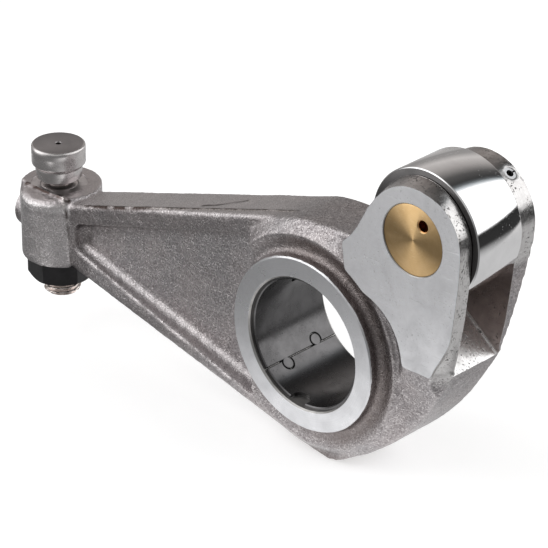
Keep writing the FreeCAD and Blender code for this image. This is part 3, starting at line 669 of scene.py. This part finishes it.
def cast_skin(body):
    """Blends the corners and gives the skin its waves and its turns."""
    remesh = body.modifiers.new("skin", "REMESH")
    remesh.mode = "VOXEL"
    remesh.voxel_size = VOXEL * MM
    smooth = body.modifiers.new("soften", "SMOOTH")
    smooth.iterations = SMOOTHING
    smooth.factor = 0.5
    apply_modifiers(body)
    mesh = body.data
    count = len(mesh.vertices)
    co = np.empty(count * 3)
    mesh.vertices.foreach_get("co", co)
    co = co.reshape(-1, 3)
    normals = np.empty(count * 3)
    mesh.vertices.foreach_get("normal", normals)
    normals = normals.reshape(-1, 3)
    waves = np.empty(count)
    for i, p in enumerate(co):
        q = Vector(p) / MM
        waves[i] = sum(height * noise.noise(q / size) for size, height in WAVES)
    co += normals * ((waves + SKIN_LOSS) * MM)[:, None]
    co = MM * reshaped(co / MM, normals)
    mesh.vertices.foreach_set("co", co.ravel())


def slot_box(lift, far):
    """A box on the fork's tilted floor, raised by lift, from the near wall to far."""
    nx, nz = FLOOR_NORMAL[0], FLOOR_NORMAL[2]
    corners = []
    for along, up in ((1, 0), (-1, 0), (-1, 1), (1, 1)):
        corners.append(((FLOOR_OFFSET + lift) * nx + BOX * (along * nz + up * nx),
                        (FLOOR_OFFSET + lift) * nz + BOX * (up * nz - along * nx)))
    return prism("cut", corners, -SLOT_HALF, far, slot=SLOT_CUT)


def cut_faces(body):
    """Cuts the machined faces and bores, each with its own material."""
    for side in (-1, 1):
        ring = [(0, side * RING_HALF), (RING_FACE_R, side * RING_HALF),
                (RING_FOOT_R, side * RING_FOOT_HALF), (RING_CUT_R, side * RING_FOOT_HALF),
                (RING_CUT_R, side * ASIDE), (0, side * ASIDE)]
        boolean(body, lathe("cut", ring, closed=False, segments=256, slot=RING_CUT))
    around = []
    for degrees in range(110, -46, -2):
        turn = math.radians(degrees)
        around.append((EAR_RELIEF_R * math.cos(turn), EAR_RELIEF_R * math.sin(turn)))
    around += [(45, -45), (75, -45), (75, 80), (-10, 80)]
    boolean(body, prism("cut", around, -ASIDE, -NEAR_EAR, slot=EAR_CUT))
    boolean(body, prism("cut", around, FAR_EAR, ASIDE, slot=EAR_CUT))
    # the fork's slot, with a small step left where its floor meets the far wall
    box = slot_box(CORNER_STEP, SLOT_HALF)
    for polygon in box.data.polygons:
        if abs(polygon.normal.y) > 0.9:
            polygon.material_index = WALL_CUT
    boolean(body, box)
    boolean(body, slot_box(0.0, SLOT_HALF - CORNER_STEP))
    bore = bore_profile(BORE_R, RING_HALF, RING_HALF, BORE_CHAMFER)
    boolean(body, lathe("cut", bore, closed=False, segments=256, slot=BORE_CUT))
    bore = bore_profile(PIN_R, NEAR_EAR, FAR_EAR, PIN_CHAMFER)
    boolean(body, lathe("cut", bore, (PIN_X, PIN_Z), closed=False, slot=BORE_CUT))
    for start, end, radius, segments, slot in (
            ((SCREW_X, 0, BELOW), (SCREW_X, 0, BOSS_BOTTOM), NUT_SEAT_R, 96, SLOT_CUT),
            ((SCREW_X, 0, BELOW), (SCREW_X, 0, ABOVE), SCREW_R + 0.05, 96, BORE_CUT),
            ((PAD_FACE_X - 6, 0, PAD_Z), (PAD_FACE_X, 0, PAD_Z), PAD_R, 96, SLOT_CUT),
            (gallery_place(-2), gallery_place(4.4), GALLERY_R, 64, BORE_CUT),
            (lock_place(LOCK_START), lock_place(24), LOCK_R, 48, BORE_CUT),
            ((SCREW_X, 0, BOSS_TOP - TOP_SEAT_DEPTH), (SCREW_X, 0, ABOVE), TOP_SEAT_R, 96, SPOT_CUT)):
        boolean(body, rod("cut", start, end, radius, segments, slot))


def casting():
    body = raw_casting()
    cast_skin(body)
    for material in CAST_SLOTS:
        body.data.materials.append(material)
    cut_faces(body)
    shade(body)
    for polygon in body.data.polygons:
        if polygon.material_index in (EAR_CUT, SLOT_CUT, WALL_CUT, SPOT_CUT):
            polygon.use_smooth = False
    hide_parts("rocker_body")
    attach(body, "root")


# The roller, its pin, the foot and the screw
def roller():
    r, half, c, inner = ROLLER_R, ROLLER_HALF, ROLLER_CHAMFER, PIN_R + 0.05
    soft, hole = 0.12, 0.4
    profile = [(inner + hole, -half, 1), (r - c - soft, -half, 1), (r - c, -half + 0.05, 0),
               (r - 0.1, -half + c - 0.1, 0), (r, -half + c + soft, 0), (r, half - c - soft, 0),
               (r - 0.1, half - c + 0.1, 1), (r - c, half - 0.05, 1), (r - c - soft, half, 1),
               (inner + hole, half, 1), (inner, half - hole, 1), (inner, -half + hole, 1)]
    obj = lathe("roller_ground", profile, (PIN_X, PIN_Z), segments=256)
    obj.data.materials.append(MIRROR)
    obj.data.materials.append(SHADED_ROLLER_SIDE)
    shade(obj)
    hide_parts("roller")
    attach(obj, "roller")


def roller_pin():
    near, far = 0.2 - NEAR_EAR, FAR_EAR - 0.2
    edge, soft = 0.4, 0.12
    profile = [(0, near), (PIN_R - edge, near), (PIN_R - soft, near + soft), (PIN_R, near + edge),
               (PIN_R, far - edge), (PIN_R - soft, far - soft), (PIN_R - edge, far), (0, far)]
    obj = lathe("bronze_pin", profile, (PIN_X, PIN_Z), closed=False)
    obj.data.materials.append(BRONZE)
    hole = [(0, near - 2), (OIL_SINK_R, near - 2), (OIL_R, near + 0.35), (OIL_R, 12), (0, 12)]
    boolean(obj, lathe("cut", hole, oil_hole(), closed=False, segments=64))
    boolean(obj, rod("cut", lock_place(LOCK_START), lock_place(14), LOCK_R, 48))
    shade(obj)
    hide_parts("roller_pin")
    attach(obj, "root")


def swivel_foot():
    top, low, seat, seat_top = 21.33, 9.93, 5.15, 19.28
    profile = [(0.9, top - 0.25, 1), (1.15, top, 1), (7.95, top, 0), (8.2, top - 0.1, 0),
               (8.52, top - 0.45, 0), (8.6, top - 0.7, 0), (8.6, 18.4, 0), (8.54, 18.3, 0),
               (8.58, 15.4, 0), (8.5, 15.1, 0), (7.6, 14.1, 0), (7.45, 13.9, 0), (7.48, 13.7, 0),
               (7.38, 12.2, 0), (7.3, 12.1, 0), (7.16, 10.6, 0), (7.12, 10.3, 0), (6.78, low, 1),
               (4.85, low, 1), (seat, 11.53, 0), (seat, 16.33, 0), (2.2, seat_top, 0),
               (0.9, seat_top, 0)]
    obj = lathe("foot_ground", profile, (SCREW_X, 0), axis="Z")
    obj.data.materials.append(FOOT)
    obj.data.materials.append(FOOT_TOP_FACE)
    shade(obj)
    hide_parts("swivel_foot")
    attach(obj, "foot")


def stud_radius(z, share):
    """The stud's radius at a height and a share of a turn: thread, shoulder and start of the neck."""
    pitch, depth, flank = 1.5, 0.85, 0.42
    if z > SHOULDER:
        return 5.6 if z <= BOSS_TOP else NECK_R
    phase = (z / pitch - share) % 1.0
    fade = min(1.0, max(0.0, (THREAD_END - z) / 2.0))
    groove = min(1.0, max(0.0, 1.0 - abs(phase - 0.5) / flank)) * depth * fade
    return min(SCREW_R - groove, 5.05 + (z - SCREW_LOW))


def threaded_stud():
    """The stud: a helical thread over most of its length, a plain shoulder, the neck and the ball."""
    segments, plain_rows = 96, 16
    rows = int((THREAD_END - SCREW_LOW) / 0.125)
    levels = [SCREW_LOW + (THREAD_END - SCREW_LOW) * k / rows for k in range(rows + 1)]
    bm = bmesh.new()
    rings = []
    for z in levels + [SHOULDER, BOSS_TOP, BOSS_TOP + 0.3]:
        ring = []
        for i in range(segments):
            turn = 2 * math.pi * i / segments
            r = stud_radius(z, i / segments)
            place = Vector((SCREW_X + r * math.cos(turn), r * math.sin(turn), z))
            ring.append(bm.verts.new(place * MM))
        rings.append(ring)
    for k, (a, b) in enumerate(zip(rings, rings[1:])):
        for i in range(segments):
            j = (i + 1) % segments
            face = bm.faces.new((a[i], a[j], b[j], b[i]))
            face.material_index = 1 if k >= rows - plain_rows else 0
    bm.faces.new(rings[0][::-1])
    bm.faces.new(rings[-1])
    obj = from_bmesh("threaded_stud", bm)
    obj.data.materials.append(THREAD)
    obj.data.materials.append(NECK)
    steps = 12
    ball = [(0, 4.0), (NECK_R, 4.0), (NECK_R, 10.5), (BALL_R, BALL_Z)]
    for k in range(1, steps):
        turn = math.radians(90 * k / steps)
        ball.append((BALL_R * math.cos(turn), BALL_Z + BALL_R * math.sin(turn)))
    ball.append((0, BALL_Z + BALL_R))
    ball = lathe("ball", ball, (SCREW_X, 0), axis="Z", segments=96, closed=False, slot=1)
    boolean(obj, ball, "UNION")
    corner = HEXAGON_FLATS / math.sqrt(3) * MM
    hexagon = bmesh.new()
    bmesh.ops.create_cone(hexagon, cap_ends=True, segments=6, radius1=corner, radius2=corner,
                          depth=10 * MM)
    bmesh.ops.translate(hexagon, vec=Vector((SCREW_X, 0, SCREW_LOW)) * MM, verts=hexagon.verts)
    boolean(obj, from_bmesh("cut", hexagon))
    boolean(obj, rod("cut", (SCREW_X, 0, -4), (SCREW_X, 0, 25), DRILL_R, 32))
    shade(obj, 40)
    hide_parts("adjusting_screw")
    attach(obj, "screw")


def dress(node, material):
    mesh = nodes[node].data
    if mesh.materials:
        for i in range(len(mesh.materials)):
            mesh.materials[i] = material
    else:
        mesh.materials.append(material)


casting()
roller()
roller_pin()
swivel_foot()
threaded_stud()
dress("shaft_bushing", BUSH)
dress("lock_nut", OXIDE)
dress("pin_lock", SPRING)
dress("oil_gallery_plug", PLUG)


# The floor, the studio and the camera
def grey(level, warm=0.0):
    return level * (1 + warm), level, level * (1 - warm * 0.6)


# The studio's panels in front of the part: direction, cosines of the outer and inner edge, level.
PANELS = [
    ((0, -1, 0), -3.0, -2.0, 0.20),
    ((-0.62, -0.76, 0.12), 0.80, 0.97, 0.70),
    ((-0.60, -0.50, 0.62), 0.78, 0.95, 1.50),
    ((-0.60, -0.66, -0.46), 0.66, 0.96, 0.62),
    ((0.30, -0.75, 0.58), 0.80, 0.97, 0.35),
]
# What stands behind the part: degrees round the bore's direction, from +X over the top, and its colour.
BEHIND = [
    (-180, grey(0.40, 0.03)), (-150, grey(0.50, 0.03)), (-90, grey(0.75)), (-36, grey(0.82, 0.02)),
    (-31, grey(0.04)), (2.5, grey(0.03)), (4, grey(1.6)), (70, grey(1.6)), (74, grey(0.75, -0.06)),
    (79, grey(0.16, -0.08)), (84, grey(0.05)), (98, grey(0.10, 0.03)), (118, grey(0.38, 0.06)),
    (142, grey(0.60, 0.05)), (160, grey(0.33, 0.04)), (180, grey(0.30, 0.03)),
]
# The floor: radius and drop under the part in metres, glow to the camera, middle, and where it fades.
FLOOR_RADIUS, FLOOR_DROP, FLOOR_LIFT = 0.45, 0.0002, 0.55
FLOOR_X, FADE_START, FADE_END = -30, 200, 430


def studio_world():
    """White for the camera. The part sees panels in front and a ramp of greys behind."""
    world = bpy.data.worlds.new("studio")
    bpy.context.scene.world = world
    world.use_nodes = True
    world.node_tree.nodes.clear()
    g = Graph(world.node_tree)
    direction = g.add("ShaderNodeTexCoord", out="Generated")
    x, y, z = (g.add("ShaderNodeSeparateXYZ", {0: direction}, axis) for axis in "XYZ")
    behind = g.add("ShaderNodeValToRGB", {0: g.remap(g.math("ARCTAN2", z, x), -math.pi, math.pi)})
    elements = behind.node.color_ramp.elements
    while len(elements) > 1:
        elements.remove(elements[-1])
    elements[0].position = (BEHIND[0][0] + 180) / 360
    elements[0].color = (*BEHIND[0][1], 1)
    for degrees, colour in BEHIND[1:]:
        elements.new((degrees + 180) / 360).color = (*colour, 1)
    front = 0.0
    for centre, outer, inner, level in PANELS:
        cosine = g.dot(direction, Vector(centre).normalized())
        front = g.math("ADD", front, g.remap(cosine, outer, inner, 0.0, level, smooth=True))
    colour = g.mix(g.remap(y, -0.25, 0.3, smooth=True), front, behind)
    studio = g.add("ShaderNodeBackground", {"Color": colour, "Strength": 1.0})
    white = g.add("ShaderNodeBackground", {"Color": (1, 1, 1, 1)})
    seen = g.add("ShaderNodeLightPath", out="Is Camera Ray")
    chosen = g.add("ShaderNodeMixShader", {0: seen, 1: studio, 2: white})
    end = g.tree.nodes.new("ShaderNodeOutputWorld")
    g.plug(end.inputs["Surface"], chosen)


def floor():
    bm = bmesh.new()
    bmesh.ops.create_circle(bm, cap_ends=True, segments=128, radius=FLOOR_RADIUS)
    level = min(corner[2] for corner in cad_box) - FLOOR_DROP
    bmesh.ops.translate(bm, vec=(FLOOR_X * MM, 0, level), verts=bm.verts)
    obj = from_bmesh("floor", bm)
    s = Shader("pale_floor", Roughness=0.9)
    speck = s.noise(30.0, 2, 0.5)
    s.values(Base_Color=s.mix(s.remap(speck, 0.4, 0.6), (0.80, 0.80, 0.80), (0.78, 0.78, 0.78)))
    paint = s.bsdf.outputs[0]
    lift = s.add("ShaderNodeEmission", {"Strength": FLOOR_LIFT})
    lifted = s.add("ShaderNodeAddShader", {0: paint, 1: lift})
    shown = s.add("ShaderNodeMixShader",
                  {0: s.add("ShaderNodeLightPath", out="Is Camera Ray"), 1: paint, 2: lifted})
    # what the metal sees of it is bright beside the hub and fades to the left
    height = level / MM
    near = s.remap(s.distance(s.place, (10, -20, height)), 25.0, 120.0, 1.06, 0.23, smooth=True)
    streak = s.vector("MULTIPLY", s.vector("SUBTRACT", s.place, (-117.0, -40.0, height)), (1.0, 0.7, 1.0))
    near = s.math("ADD", near, s.remap(s.length(streak), 15.0, 3.0, 0.0, 1.6, smooth=True))
    behind = s.remap(s.part("Y"), -12.0, 45.0, smooth=True)
    mirror_image = s.add("ShaderNodeEmission", {"Strength": s.mix(behind, near, 0.62)})
    mirrored = s.add("ShaderNodeMixShader",
                     {0: s.add("ShaderNodeLightPath", out="Is Glossy Ray"), 1: shown, 2: mirror_image})
    fade = s.remap(s.distance(s.place, (FLOOR_X, 0, height)), FADE_START, FADE_END, smooth=True)
    clear = s.add("ShaderNodeBsdfTransparent")
    surface = s.add("ShaderNodeMixShader", {0: fade, 1: mirrored, 2: clear})
    s.plug(s.tree.nodes["Material Output"].inputs[0], surface)
    obj.data.materials.append(s.material)


def camera():
    """The photograph's own view."""
    place, yaw, pitch = (594.718, -652.775, 469.887), math.radians(43.5665), math.radians(27.1381)
    data = bpy.data.cameras.new("camera")
    data.lens = 222.76
    data.sensor_width = 36.0
    data.clip_start = 0.05
    data.clip_end = 10.0
    obj = link("camera", data)
    right = Vector((math.cos(yaw), math.sin(yaw), 0))
    back = Vector((math.sin(yaw) * math.cos(pitch), -math.cos(yaw) * math.cos(pitch), math.sin(pitch)))
    up = back.cross(right)
    turn = Matrix((right, up, back)).transposed().to_4x4()
    obj.matrix_world = Matrix.Translation(Vector(place) * MM) @ turn
    bpy.context.scene.camera = obj


studio_world()
floor()
camera()
bpy.context.scene.view_settings.view_transform = "Standard"
